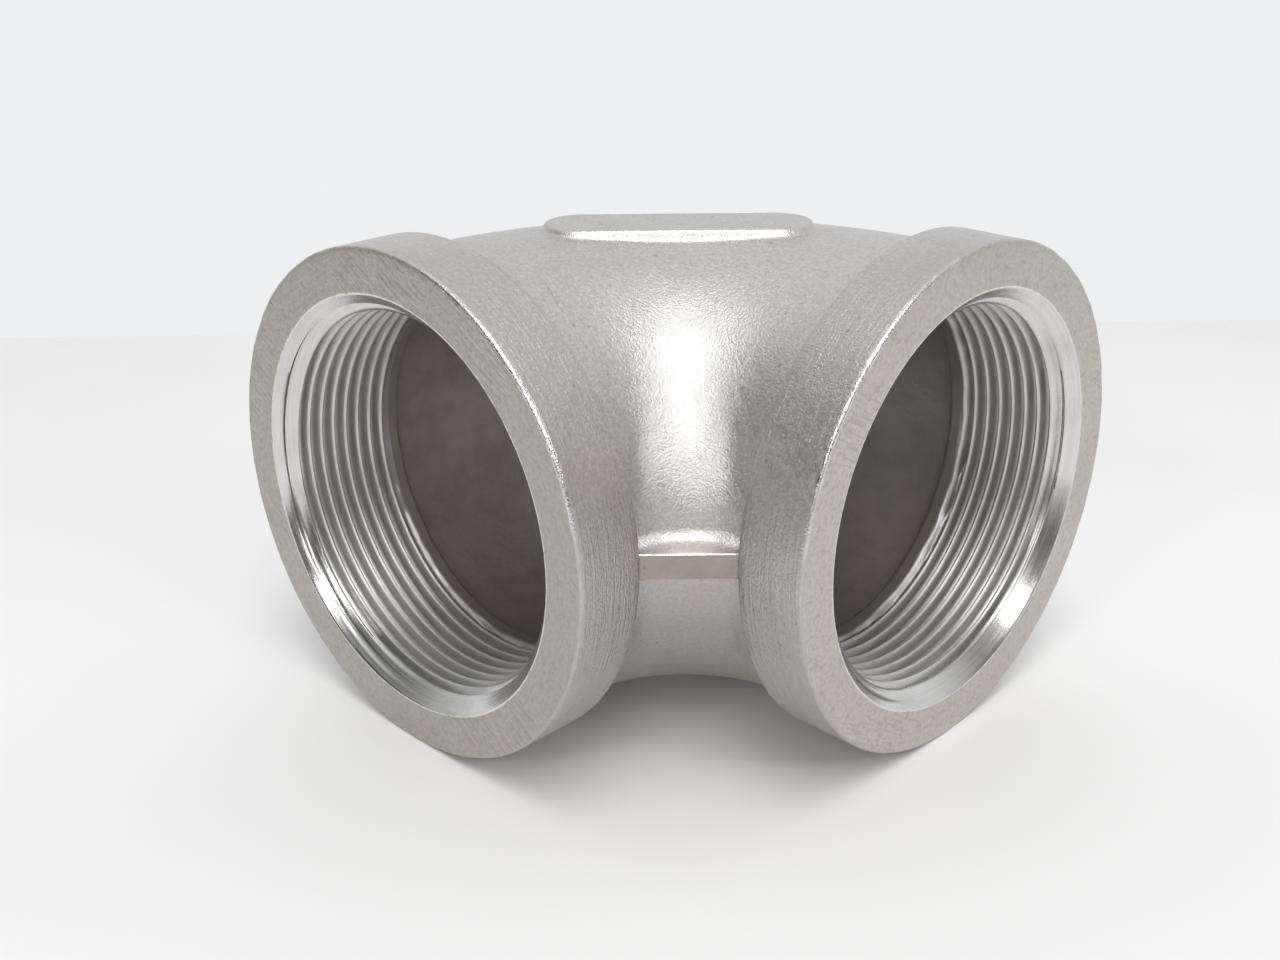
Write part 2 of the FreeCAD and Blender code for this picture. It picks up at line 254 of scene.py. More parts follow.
def cove_and_neck():
    out = []
    for a in np.radians((0, 22, 45, 67, 90)):
        out.append((BACK - (1 - math.cos(a)), RB + 1 - math.sin(a)))
    for d in np.linspace(BACK - 1.0, RC, 6)[1:]:
        out.append((d, RB))
    return out


STOTAL = 2 * (BACK - RC) + (RC - RB) * math.pi / 2
left, left_g = outer_port(11.0)
right, right_g = outer_port(53.0)
NB = 82
bend = []
for k in range(1, NB):
    b = math.pi / 2 * k / NB
    u = np.array([math.cos(b), -math.sin(b), 0.0])
    centre = np.array([RC, -RC, 0.0]) - RC * u
    s = (BACK - RC) + (RC - RB) * b
    w = -6.70 + 13.40 * s / STOTAL
    bend.append(rib_column(centre + RB * u, u, w, RB, centre))
bend = np.array(bend)                     # [column, row, xyz]

# ---- marking pad: the grid is drawn to the stadium outline and raised
PAD_S, PAD_TOP, PAD_L, PAD_W = 19.0, 35.95, 39.2, 10.9
rho_m = [0, 1.0, 2.0, 3.0, 3.95, 4.55, 4.9, 5.1, 5.27, 5.47, 5.67, 5.88, 6.2, 6.65, 7.25, 7.95]
while len(rho_m) < 60:
    rho_m.append(rho_m[-1] + 0.76)
rho_m = np.array(rho_m)
rise_r = [0, 4.9, 5.1, 5.27, 5.47, 5.67, 5.88, 6.2, 6.65, 99]
rise_h = [1, 1.0, 0.96, 0.86, 0.58, 0.28, 0.12, 0.03, 0.0, 0.0]
NA = 18
jc = NB // 2 - 1
half_l = PAD_L / 2 - PAD_W / 2
for j in range(len(bend)):
    for i in range(ROW_PAD - 34, ROW_PAD + 34):
        a, b = j - jc, -(i - ROW_PAD)
        over = max(0, abs(a) - NA)
        m = max(over, abs(b))
        if m >= 29:
            continue
        rho = rho_m[m]
        if over == 0:
            w, v = a * half_l / NA, math.copysign(rho, b) if b else 0.0
            if b == 0:
                rho = 0.0
        else:
            # once round half of the square ring, from the far side to the near side
            if abs(b) < m or over == m and abs(b) <= m:
                q = (m - b) + m if over == m else 0
            if over == m:
                q = m + (m - b)
            elif b > 0:
                q = over
            else:
                q = 4 * m - over
            th = math.pi / 2 - math.pi * q / (4 * m)
            w = math.copysign(half_l + rho * math.cos(th), a)
            v = rho * math.sin(th)
        s = PAD_S + v
        new = np.array([(s + w) * S2, (w - s) * S2])
        old = bend[j, i, :2]
        k = 1 - smooth((m - 13) / 15.0)
        xy = old * (1 - k) + new * k
        off = RC - math.hypot(xy[0] - RC, xy[1] + RC)
        zb = math.sqrt(max(RB * RB - off * off, 0.0))
        h = np.interp(rho, rise_r, rise_h)
        bend[j, i] = (xy[0], xy[1], zb + (PAD_TOP - zb) * h)

outer = left + list(bend) + [mirror(c) for c in right[::-1]]
outer_g = left_g + [np.zeros(N)] * len(bend) + right_g[::-1]

# ---------------------------------------------------------------- vertices and faces
V, EDGE, DEPTH, SKIN, PAINTED_SHADE_AND_DIRT = [], [], [], [], []
F, FM = [], []
CAST, FACE_L, FACE_R, BRIGHT, INNER = range(5)


def put(points, wear_and_sheen=0.0, depth=0.0, skin=0.0, painted_shade_and_dirt=0.0):
    n0 = len(V)
    V.extend(points.tolist())
    for dst, val in ((EDGE, wear_and_sheen), (DEPTH, depth), (SKIN, skin), (PAINTED_SHADE_AND_DIRT, painted_shade_and_dirt)):
        dst.extend(np.broadcast_to(val, (len(points),)).tolist())
    return np.arange(n0, n0 + len(points))


def face(ids, mat, flip=False):
    out = []
    for v in ids:
        if v not in out:
            out.append(int(v))
    if len(out) >= 3:
        F.append(out[::-1] if flip else out)
        FM.append(mat)


def band(a, b, mat, flip=False):
    for i in range(N):
        k = (i + 1) % N
        face((a[i], b[i], b[k], a[k]), mat, flip)


ids = []
NCOLLAR = 18                             # columns before the rib begins
for j, (p, g) in enumerate(zip(outer, outer_g)):
    k = min(j, len(outer) - 1 - j)
    # the face edge is turned; everything behind it is cast skin
    w = 0.0 if k < 3 else (0.35 if k < 6 else 1.0)
    shade_dirt_mask = np.zeros(N)
    if k >= NCOLLAR:
        # painted shade: the rib's front rows are darkened and browned
        shade_dirt_mask[:4] = 1.0
        shade_dirt_mask[-3:] = 1.0
        g = g.copy()
        g[4:7] = 0.8                     # the rib's upper front edge is worn and painted bright as a highlight
    dep = min(A - (-p[:, 1]).max(), A - p[:, 0].max()) if k < 17 else 30.0
    if 15 <= k < NCOLLAR + 5:
        shade_dirt_mask = np.maximum(shade_dirt_mask, 0.8)        # painted crease shade and dirt in the root behind the collar
    # painted shade: darker and browner in the recess between the collars and low down
    inner = smooth(((p[:, 0] - p[:, 1]) * S2 - 34) / 14)
    low = smooth((3 - p[:, 2]) / 9)
    shade_dirt_mask = np.maximum(shade_dirt_mask, inner * ((0.18 + 0.20 * low) if k < 15 else 0.34 * low))
    ids.append(put(p, g, dep, w, shade_dirt_mask))
for j in range(len(ids) - 1):
    k = min(j, len(ids) - 2 - j)
    mat = CAST
    if k == 0:
        mat = FACE_L if j == 0 else FACE_R
    band(ids[j], ids[j + 1], mat)

OUT_L, OUT_R = ids[0], ids[-1]

# ---------------------------------------------------------------- one port, from its face to the shoulder
FS = np.array([-0.035, 0.035, 0.15, 0.30, 0.455, 0.545, 0.70, 0.85])   # rows in one pitch, crest at 0
NP = len(FS)


def thread_radius(t, f, fade):
    q = np.abs((f + 0.5) % 1.0 - 0.5)
    h = np.clip((q - 0.035) / (0.5 - 0.07), 0, 1)
    base = (CREST0 - t / 32) * fade + RBORE * (1 - fade)
    return base + 1.767 * h * fade


def port(side, t_off, seed, outer_ring, face_mat):
    """side -1 for the -Y port, +1 for the +X port. Builds the rings in order from the face inwards and hands back
    the last, at the shoulder.
    """
    flip = side < 0
    tr = (lambda p: p) if side < 0 else mirror

    def inner_band(a, b, mat):
        band(a, b, mat, flip)
    # end face, from just inside the outer edge to the mouth
    last = outer_ring
    rad = [36.0, 34.6, 33.2, 32.0, 31.45]
    for k, r in enumerate(rad):
        q = (k + 1) / (len(rad) + 1)
        ang = COLLAR * (1 - q) + EVEN * q
        now = put(tr(ring(ang, A, np.full(N, r))), 0.0, 0.0, 0.0)
        inner_band(last, now, face_mat)
        last = now
    pe = np.stack([np.cos(EVEN), np.sin(EVEN), 0 * EVEN], -1) * 30
    nick = 0.05 + 0.03 * nz(pe, 0.6, seed)
    now = put(tr(ring(EVEN, A, RM + nick)), 1.0, 0.0, 0.0)
    inner_band(last, now, face_mat)
    last = now
    now = put(tr(ring(EVEN, A - 0.08, RM - 0.08 + 0 * EVEN)), 0.6, 0.08, 0.0)
    inner_band(last, now, BRIGHT)
    first = now
    # helical rows between the planes t0 and t1
    t0, t1 = 0.08, THREAD + 0.4
    frac = EVEN / TAU if side > 0 else 1 - EVEN / TAU
    ragged = 0.9 * nz(pe, 0.25, seed + 5) + 0.5 * nz(pe, 0.9, seed + 9)
    end_ring = put(tr(ring(EVEN, A - t1, RBORE + 0 * EVEN)), 0.0, t1, 0.3)
    kmin = int(math.floor((t0 - t_off) / PITCH - 1)) - 1
    kmax = int(math.ceil((t1 - t_off) / PITCH)) + 1
    rows = {}
    order = []
    for k in range(kmin, kmax + 1):
        for jf, f in enumerate(FS):
            order.append((k, jf))
            t = t_off + PITCH * (k + f + frac)
            inside = (t > t0 + 0.04) & (t < t1 - 0.04)
            tc = np.clip(t, t0, t1)
            fade = 1 - smooth((tc + 0.45 * ragged - 17.4) / 1.8)
            r = thread_radius(tc, np.full(N, f), fade)
            # a lightly torn crest
            if jf in (0, 1):
                r = r + 0.03 * np.maximum(0, nz(np.stack([np.cos(EVEN) * 28, np.sin(EVEN) * 28, tc], -1), 0.8, seed + 1)) * fade
            r = np.maximum(r, RM - 0.0 - tc)
            r = np.maximum(r, RBORE)
            pts = tr(ring(EVEN, A - tc, r))
            idx = np.where(t <= t0 + 0.04, first, np.where(t >= t1 - 0.04, end_ring, -1))
            use = np.nonzero(inside)[0]
            if len(use):
                crest = 1.0 if jf in (0, 1) else 0.0
                new = put(pts[use], crest * fade[use], tc[use], 0.0)
                idx[use] = new
            rows[len(order) - 1] = idx
    M = len(order)
    shift = NP if side > 0 else -NP

    def at(m, i, wrap):
        m = m + (shift if wrap else 0)
        if m < 0:
            return first[i]
        if m >= M:
            return end_ring[i]
        return rows[m][i]
    for m in range(-1, M):
        for i in range(N):
            k = (i + 1) % N
            w = k == 0
            face((at(m, i, False), at(m + 1, i, False), at(m + 1, k, w), at(m, k, w)), BRIGHT, flip)
    if side < 0:
        # the seam's second half on the other side of the wrap
        for m in range(M, M + NP + 1):
            face((at(m, N - 1, False), at(m + 1, N - 1, False), at(m + 1, 0, True), at(m, 0, True)), BRIGHT, flip)
    else:
        for m in range(-NP - 1, -1):
            face((at(m, N - 1, False), at(m + 1, N - 1, False), at(m + 1, 0, True), at(m, 0, True)), BRIGHT, flip)
    last = end_ring
    # as-cast bore and rounded shoulder
    for t in (19.9, 20.45, 20.8):
        now = put(tr(ring(EVEN, A - t, RBORE + 0.03 * nz(pe, 0.3, t))), 0.0, t, 0.6)
        inner_band(last, now, INNER)
        last = now
    for a in np.radians((22, 45, 67, 90)):
        now = put(tr(ring(EVEN, A - (BOSS - 0.8 + 0.8 * math.sin(a)), RBORE + 0.8 * (1 - math.cos(a)) + 0 * EVEN)), np.clip(3 * nz(pe, 0.12, seed + 31) - 0.6, 0, 0.9), BOSS, 0.6)
        inner_band(last, now, INNER)
        last = now
    return last


T_OFF_L = 1.5365
T_OFF_R = 0.40
sh_l = port(-1, T_OFF_L, 21.0, OUT_L, FACE_L)
sh_r = port(+1, T_OFF_R, 77.0, OUT_R, FACE_R)

# ---------------------------------------------------------------- inside of the bend
rho_i = RC - RV * np.cos(EVEN)
d0 = A - BOSS
beta0 = np.arcsin(np.clip((RC - d0) / rho_i, -1, 1))
NC = 44


def cavity(c, shrink=0.0):
    b = beta0 + (math.pi / 2 - 2 * beta0) * c
    rr = RV - shrink
    rho = RC - rr * np.cos(EVEN)
    return np.stack([RC - rho * np.cos(b), -RC + rho * np.sin(b), rr * np.sin(EVEN)], -1)


wall_l = cavity(0.0)
base_l = ring(EVEN, d0, np.full(N, RBORE + 0.8))
last = sh_l
for q in (0.35, 0.7):
    now = put(base_l * (1 - q) + wall_l * q, 0.0, BOSS, 0.8)
    band(last, now, INNER, True)
    last = now
for k in range(NC + 1):
    c = k / NC
    pts = cavity(c)
    if k == 0:
        pts = 0.5 * pts + 0.25 * (base_l * 0.3 + wall_l * 0.7) + 0.25 * cavity(1 / NC)
    if k == NC:
        pts = 0.5 * pts + 0.25 * (mirror(base_l) * 0.3 + mirror(wall_l) * 0.7) + 0.25 * cavity(1 - 1 / NC)
    now = put(pts, 0.0, BOSS + 3, 1.0)
    band(last, now, INNER, True)
    last = now
wall_r = cavity(1.0)
base_r = mirror(base_l)
for q in (0.7, 0.35):
    now = put(base_r * (1 - q) + wall_r * q, 0.0, BOSS, 0.8)
    band(last, now, INNER, True)
    last = now
band(last, sh_r, INNER, True)

V = np.array(V)
EDGE, DEPTH, SKIN, PAINTED_SHADE_AND_DIRT = (np.array(a) for a in (EDGE, DEPTH, SKIN, PAINTED_SHADE_AND_DIRT))

# ---------------------------------------------------------------- the mesh
me = bpy.data.meshes.new("elbow_casting")
me.from_pydata(V.tolist(), [], F)
me.update()
nrm = np.empty(len(V) * 3)
me.vertices.foreach_get("normal", nrm)
nrm = nrm.reshape(-1, 3)
# the shell of a casting is never quite true: long soft waves and small lumps, none on machined metal
wave = 0.055 * nz(V, 0.075, 3.1) + 0.030 * nz(V, 0.22, 9.7) + 0.012 * nz(V, 0.7, 5.5)
inner = np.array(FM) == INNER
V = V + nrm * (wave * SKIN)[:, None]
P = (V + OFF) / 1000
P[:, 2] = np.maximum(P[:, 2], 0.0)       # the collars stand on the floor, not in it
me.vertices.foreach_set("co", P.ravel())
me.polygons.foreach_set("material_index", np.array(FM, dtype=np.int32))
me.polygons.foreach_set("use_smooth", np.ones(len(F), dtype=bool))
for name, val in (("wear_and_sheen", EDGE), ("depth", DEPTH), ("painted_shade_and_dirt", PAINTED_SHADE_AND_DIRT)):
    at = me.attributes.new(name, "FLOAT", "POINT")
    at.data.foreach_set("value", np.asarray(val, dtype=np.float32))
me.update()
me.set_sharp_from_angle(angle=math.radians(72))
ob = bpy.data.objects.new("elbow_casting", me)
bpy.context.scene.collection.objects.link(ob)
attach(ob, "root")
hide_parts("elbow_body")


# ---------------------------------------------------------------- materials
class Mat:
    """A short way to wire shader nodes."""

    def __init__(self, name):
        self.m = bpy.data.materials.new(name)
        self.m.use_nodes = True
        self.t = self.m.node_tree
        self.t.nodes.clear()
        self.out = self.t.nodes.new("ShaderNodeOutputMaterial")
        self.b = self.t.nodes.new("ShaderNodeBsdfPrincipled")
        self.t.links.new(self.b.outputs[0], self.out.inputs[0])

    def n(self, kind, **props):
        x = self.t.nodes.new(kind)
        for k, v in props.items():
            setattr(x, k, v)
        return x

    def link(self, a, b):
        self.t.links.new(a, b)

    def coord(self):
        return self.n("ShaderNodeTexCoord").outputs["Object"]

    def attr(self, name):
        return self.n("ShaderNodeAttribute", attribute_name=name).outputs["Fac"]

    def math(self, op, a, b=None, c=None, clamp=False):
        x = self.n("ShaderNodeMath", operation=op, use_clamp=clamp)
        for k, v in enumerate((a, b, c)):
            if v is None:
                continue
            if hasattr(v, "is_output"):
                self.link(v, x.inputs[k])
            else:
                x.inputs[k].default_value = v
        return x.outputs[0]

    def scaled(self, vec, sx, sy, sz, loc=(0, 0, 0), rot=(0, 0, 0)):
        x = self.n("ShaderNodeMapping")
        self.link(vec, x.inputs["Vector"])
        x.inputs["Scale"].default_value = (sx, sy, sz)
        x.inputs["Location"].default_value = loc
        x.inputs["Rotation"].default_value = rot
        return x.outputs[0]

    def noise(self, vec, scale, detail=2.0, rough=0.5, dist=0.0):
        x = self.n("ShaderNodeTexNoise")
        self.link(vec, x.inputs["Vector"])
        x.inputs["Scale"].default_value = scale
        x.inputs["Detail"].default_value = detail
        x.inputs["Roughness"].default_value = rough
        x.inputs["Distortion"].default_value = dist
        return x.outputs["Fac"]

    def voronoi(self, vec, scale, feature="F1", rand=1.0):
        x = self.n("ShaderNodeTexVoronoi", feature=feature)
        self.link(vec, x.inputs["Vector"])
        x.inputs["Scale"].default_value = scale
        x.inputs["Randomness"].default_value = rand
        return x.outputs["Distance"]

    def ramp(self, fac, a, b, lo=0.0, hi=1.0):
        """Maps fac from lo..hi to a..b, clamped."""
        x = self.n("ShaderNodeMapRange", clamp=True)
        self.link(fac, x.inputs["Value"])
        for k, v in (("From Min", lo), ("From Max", hi), ("To Min", a), ("To Max", b)):
            x.inputs[k].default_value = v
        return x.outputs["Result"]

    def mix(self, fac, a, b, blend="MIX"):
        x = self.n("ShaderNodeMix", data_type="RGBA", blend_type=blend)
        for sock, v in ((x.inputs[0], fac), (x.inputs[6], a), (x.inputs[7], b)):
            if hasattr(v, "is_output"):
                self.link(v, sock)
            elif isinstance(v, (int, float)):
                sock.default_value = v
            else:
                sock.default_value = (*v, 1.0)
        return x.outputs[2]

    def bump(self, height, strength, distance, normal=None):
        x = self.n("ShaderNodeBump")
        self.link(height, x.inputs["Height"])
        x.inputs["Strength"].default_value = strength
        x.inputs["Distance"].default_value = distance
        if normal is not None:
            self.link(normal, x.inputs["Normal"])
        return x.outputs[0]

    def finish(self, color, rough, normal, metallic=1.0):
        self.link(color, self.b.inputs["Base Color"])
        self.link(rough, self.b.inputs["Roughness"])
        self.link(normal, self.b.inputs["Normal"])
        self.b.inputs["Metallic"].default_value = metallic
        return self.m


def cast_skin():
    m = Mat("cast_blasted_stainless")
    p = m.coord()
    wear_and_sheen = m.attr("wear_and_sheen")
    big = m.noise(p, 38, 3.0, 0.55)
    mid = m.noise(p, 300, 3.0, 0.6)
    fine = m.noise(p, 1900, 2.0, 0.55)
    pits = m.voronoi(p, 230)
    col = m.mix(m.ramp(big, 0, 1, 0.35, 0.65), (0.580, 0.556, 0.524), (0.622, 0.604, 0.578))
    col = m.mix(m.ramp(mid, 0, 0.35, 0.45, 0.7), col, (0.530, 0.510, 0.480))
    col = m.mix(m.ramp(fine, 0.5, 0, 0.28, 0.5), col, (0.46, 0.445, 0.42))
    col = m.mix(m.ramp(fine, 0, 0.5, 0.5, 0.75), col, (0.76, 0.755, 0.745))
    # painted shade, darker and browner, on the rib's front, in the root behind the collars (with some dirt) and in
    # the recess between the collars low down
    col = m.mix(m.math("MULTIPLY", m.attr("painted_shade_and_dirt"), m.ramp(mid, 0.95, 0.7, 0.3, 0.7)), col, (0.33, 0.295, 0.25))
    # a few small dark inclusions
    col = m.mix(m.ramp(pits, 0.55, 0.0, 0.03, 0.10), col, (0.25, 0.23, 0.21))
    # burnished where the turned edge meets the skin and on the rib's top edge, with a painted highlight on the side
    # toward the corner
    nick = m.noise(p, 800, 3.0, 0.6)
    shine = m.math("MULTIPLY", m.ramp(wear_and_sheen, 0, 1, 0.25, 0.8), m.ramp(nick, 0, 1, 0.30, 0.5))
    col = m.mix(shine, col, (0.80, 0.795, 0.785))
    rough = m.ramp(mid, 0.37, 0.47, 0.3, 0.7)
    rough = m.math("ADD", rough, m.ramp(fine, -0.05, 0.06, 0.3, 0.7))
    rough = m.math("SUBTRACT", rough, m.math("MULTIPLY", shine, 0.24))
    # linishing marks that run round the collar bands
    depth = m.attr("depth")
    sc = m.n("ShaderNodeVectorMath", operation="SCALE")
    m.link(p, sc.inputs[0])
    sc.inputs[3].default_value = 75.0
    com = m.n("ShaderNodeCombineXYZ")
    m.link(m.math("MULTIPLY", depth, 2.1), com.inputs[0])
    add = m.n("ShaderNodeVectorMath", operation="ADD")
    m.link(com.outputs[0], add.inputs[0])
    m.link(sc.outputs[0], add.inputs[1])
    marks = m.noise(add.outputs[0], 1.0, 3.0, 0.6)
    onband = m.ramp(depth, 1.0, 0.0, 10.2, 14.0)
    marks = m.math("MULTIPLY", marks, onband)
    col = m.mix(m.ramp(marks, 0.0, 0.35, 0.50, 0.68), col, (0.50, 0.475, 0.44))
    # blasted grain, two sizes of pebble, and soft lumps
    grain = m.math("ADD", m.math("MULTIPLY", m.noise(p, 3100, 1.0, 0.5), 0.62), m.math("MULTIPLY", m.noise(p, 5400, 1.0, 0.5), 0.30))
    grain = m.math("ADD", grain, m.math("MULTIPLY", m.noise(p, 1900, 1.0, 0.5), 0.32))
    b = m.bump(marks, 0.5, 0.00022)
    b = m.bump(grain, 0.8, 0.00013, b)
    b = m.bump(m.noise(p, 170, 2.0, 0.5), 0.25, 0.00035, b)
    return m.finish(col, rough, b)


def face_metal(name, axis, painted_light_scale):
    """Turned end face: rings about the port axis, broken by short chatter marks."""
    m = Mat(name)
    p = m.coord()
    wear_and_sheen = m.attr("wear_and_sheen")
    sub = m.n("ShaderNodeVectorMath", operation="SUBTRACT")
    m.link(p, sub.inputs[0])
    sub.inputs[1].default_value = tuple(OFF / 1000)
    sep = m.n("ShaderNodeSeparateXYZ")
    m.link(sub.outputs[0], sep.inputs[0])
    a, z = sep.outputs[axis], sep.outputs[2]
    rad = m.math("SQRT", m.math("ADD", m.math("MULTIPLY", a, a), m.math("MULTIPLY", z, z)))
    ca, sa = m.math("DIVIDE", a, rad), m.math("DIVIDE", z, rad)
    com = m.n("ShaderNodeCombineXYZ")
    m.link(m.math("MULTIPLY", rad, 4200), com.inputs[0])
    m.link(m.math("MULTIPLY", ca, 9), com.inputs[1])
    m.link(m.math("MULTIPLY", sa, 9), com.inputs[2])
    rings = m.noise(com.outputs[0], 1.0, 2.0, 0.6)
    com2 = m.n("ShaderNodeCombineXYZ")
    m.link(m.math("MULTIPLY", rad, 700), com2.inputs[0])
    m.link(m.math("MULTIPLY", ca, 26), com2.inputs[1])
    m.link(m.math("MULTIPLY", sa, 26), com2.inputs[2])
    chat = m.noise(com2.outputs[0], 1.0, 2.0, 0.55, 0.6)
    big = m.noise(p, 60, 2.0, 0.5)
    fine = m.noise(p, 1500, 3.0, 0.6)
    # every tone is scaled per face: painted shade on the -Y face (0.90), painted light on the +X face (1.06)
    tones = [tuple(v * painted_light_scale for v in c) for c in ((0.515, 0.488, 0.448), (0.570, 0.542, 0.500), (0.43, 0.405, 0.365))]
    col = m.mix(m.ramp(big, 0, 1, 0.35, 0.65), tones[0], tones[1])
    col = m.mix(m.ramp(fine, 0, 0.7, 0.45, 0.72), col, tones[2])
    col = m.mix(m.ramp(rings, 0, 0.25, 0.5, 0.75), col, (0.72, 0.70, 0.665))
    col = m.mix(m.ramp(chat, 0.6, 0.0, 0.30, 0.42), col, (0.40, 0.38, 0.345))
    # dressing scratches that cross the face at a slant, patchy
    u = m.math("SUBTRACT", m.math("MULTIPLY", a, 0.86), m.math("MULTIPLY", z, 0.50))
    v = m.math("ADD", m.math("MULTIPLY", z, 0.86), m.math("MULTIPLY", a, 0.50))
    com3 = m.n("ShaderNodeCombineXYZ")
    m.link(m.math("MULTIPLY", u, 190), com3.inputs[0])
    m.link(m.math("MULTIPLY", v, 2100), com3.inputs[1])
    slant = m.math("MULTIPLY", m.noise(com3.outputs[0], 1.0, 2.0, 0.6), m.ramp(big, 0.55, 1.0, 0.4, 0.6))
    col = m.mix(m.ramp(slant, 0.0, 0.55, 0.46, 0.62), col, tuple(v_ * painted_light_scale for v_ in (0.385, 0.36, 0.32)))
    nick = m.noise(p, 900, 3.0, 0.6)
    # burnished edges at the mouth and the rim; on the rim a painted highlight, brighter on the side toward the
    # corner
    shine = m.math("MULTIPLY", m.ramp(wear_and_sheen, 0, 1, 0.35, 0.9), m.ramp(nick, 0, 1, 0.32, 0.5))
    col = m.mix(shine, col, (0.86, 0.855, 0.84))
    rough = m.ramp(fine, 0.36, 0.48, 0.3, 0.7)
    rough = m.math("SUBTRACT", rough, m.math("MULTIPLY", shine, 0.2))
    b = m.bump(rings, 0.3, 0.00006)
    b = m.bump(slant, 0.5, 0.00018, b)
    b = m.bump(chat, 0.6, 0.00014, b)
    b = m.bump(fine, 0.5, 0.00010, b)
    return m.finish(col, rough, b)


def bright_metal():
    """Cut threads and chamfer: tool lines run round the bore."""
    m = Mat("cut_thread_bright")
    p = m.coord()
    crest = m.attr("wear_and_sheen")
    depth = m.attr("depth")
    sep = m.n("ShaderNodeSeparateXYZ")
    m.link(p, sep.inputs[0])
    com = m.n("ShaderNodeCombineXYZ")
    m.link(m.math("MULTIPLY", depth, 5.0), com.inputs[0])
    sc = m.n("ShaderNodeVectorMath", operation="SCALE")
    m.link(p, sc.inputs[0])
    sc.inputs[3].default_value = 70.0
    add = m.n("ShaderNodeVectorMath", operation="ADD")
    m.link(com.outputs[0], add.inputs[0])
    m.link(sc.outputs[0], add.inputs[1])
    lines = m.noise(add.outputs[0], 1.0, 3.0, 0.6)
    blot = m.noise(p, 140, 3.0, 0.55)
    fine = m.noise(p, 1800, 2.0, 0.5)
    col = m.mix(m.ramp(lines, 0, 1, 0.3, 0.7), (0.62, 0.612, 0.595), (0.72, 0.715, 0.702))
    col = m.mix(m.ramp(blot, 0, 0.35, 0.5, 0.7), col, (0.50, 0.485, 0.46))
    # painted shade: the cut metal is darker further into the bore
    col = m.mix(m.ramp(depth, 0, 0.35, 4.0, 19.0), col, (0.44, 0.42, 0.39))
    # painted highlight: lighter along the thread crests and the chamfer's inner edge
    col = m.mix(m.ramp(crest, 0, 0.3, 0.3, 1.0), col, (0.74, 0.73, 0.715))
    rough = m.ramp(blot, 0.16, 0.28, 0.3, 0.7)
    rough = m.math("ADD", rough, m.ramp(depth, 0.0, 0.22, 2.2, 5.0))
    rough = m.math("ADD", rough, m.ramp(lines, -0.04, 0.06, 0.3, 0.7))
    b = m.bump(lines, 0.35, 0.00005)
    b = m.bump(fine, 0.15, 0.00003, b)
    return m.finish(col, rough, b)


def inner_skin():
    m = Mat("cast_inside_dull")
    p = m.coord()
    wear_and_sheen = m.attr("wear_and_sheen")
    big = m.noise(p, 45, 3.0, 0.55)
    mid = m.noise(p, 240, 3.0, 0.6)
    col = m.mix(m.ramp(big, 0, 1, 0.35, 0.65), (0.44, 0.408, 0.365), (0.50, 0.465, 0.42))
    col = m.mix(m.ramp(mid, 0, 0.42, 0.4, 0.65), col, (0.35, 0.322, 0.285))
    col = m.mix(m.ramp(wear_and_sheen, 0, 0.5, 0.1, 0.6), col, (0.66, 0.65, 0.63))
    rough = m.ramp(mid, 0.52, 0.60, 0.3, 0.7)
    rough = m.math("SUBTRACT", rough, m.ramp(wear_and_sheen, 0, 0.3, 0.1, 0.6))
    grain = m.math("ADD", m.math("MULTIPLY", m.noise(p, 1300, 2.0, 0.5), 0.6), m.math("MULTIPLY", m.noise(p, 500, 1.0, 0.5), 0.4))
    b = m.bump(grain, 0.5, 0.00018)
    return m.finish(col, rough, b)


# two copies of one turned finish, the -Y face painted darker and the +X face painted lighter
for mt in (cast_skin(), face_metal("turned_face_painted_darker", 0, 0.90), face_metal("turned_face_painted_lighter", 1, 1.06), bright_metal(), inner_skin()):
    me.materials.append(mt)


# ---------------------------------------------------------------- camera
AZ, EL, ROLL = 0.7754999, 0.4046689, -0.0073707
DIST, TX, TZ = 6.6096848 * R, -0.1502157 * R, -0.3175768 * R
ca, sa, ce, se = math.cos(AZ), math.sin(AZ), math.cos(EL), math.sin(EL)
back = Vector((sa * ce, -ca * ce, se))
right = Vector((ca, sa, 0))
upv = back.cross(right)
where = back * DIST + right * TX + upv * TZ + Vector(OFF)
cr, sr = math.cos(ROLL), math.sin(ROLL)
r2, u2 = right * cr + upv * sr, upv * cr - right * sr
cam = bpy.data.cameras.new("camera")
cam.sensor_width = 36.0
cam.lens = 1495.784 / 1280 * 36.0
cam.clip_start, cam.clip_end = 0.01, 50
co = bpy.data.objects.new("camera", cam)
co.matrix_world = Matrix(((r2.x, u2.x, back.x, where.x / 1000), (r2.y, u2.y, back.y, where.y / 1000), (r2.z, u2.z, back.z, where.z / 1000), (0, 0, 0, 1)))
bpy.context.scene.collection.objects.link(co)
bpy.context.scene.camera = co

# ---------------------------------------------------------------- floor
fwd = Vector((-sa, ca, 0))                      # away from the camera, along the floor
edge_mid = Vector((where.x / 1000, where.y / 1000, 0)) + fwd * 0.397
tilt = 0.024
across = (right * math.cos(tilt) + fwd * math.sin(tilt)).normalized()
fm = bpy.data.meshes.new("floor")
q = [edge_mid - across * 4, edge_mid + across * 4, edge_mid + across * 4 - fwd * 8, edge_mid - across * 4 - fwd * 8]
fm.from_pydata([(v.x, v.y, 0.0) for v in q], [], [(3, 2, 1, 0)])
fm.update()
fo = bpy.data.objects.new("floor", fm)
bpy.context.scene.collection.objects.link(fo)
m = Mat("paper_white")
p = m.coord()
n1 = m.noise(p, 9, 3.0, 0.5)
n2 = m.noise(p, 420, 3.0, 0.6)
fcol = m.mix(m.ramp(n1, 0, 1, 0.3, 0.7), (0.865, 0.862, 0.855), (0.90, 0.897, 0.89))
m.finish(fcol, m.ramp(n2, 0.62, 0.75, 0.3, 0.7), m.bump(n2, 0.12, 0.0002), 0.0)
m.b.inputs["Specular IOR Level"].default_value = 0.25
fm.materials.append(m.m)
if fm.polygons[0].normal.z < 0:
    fm.flip_normals()


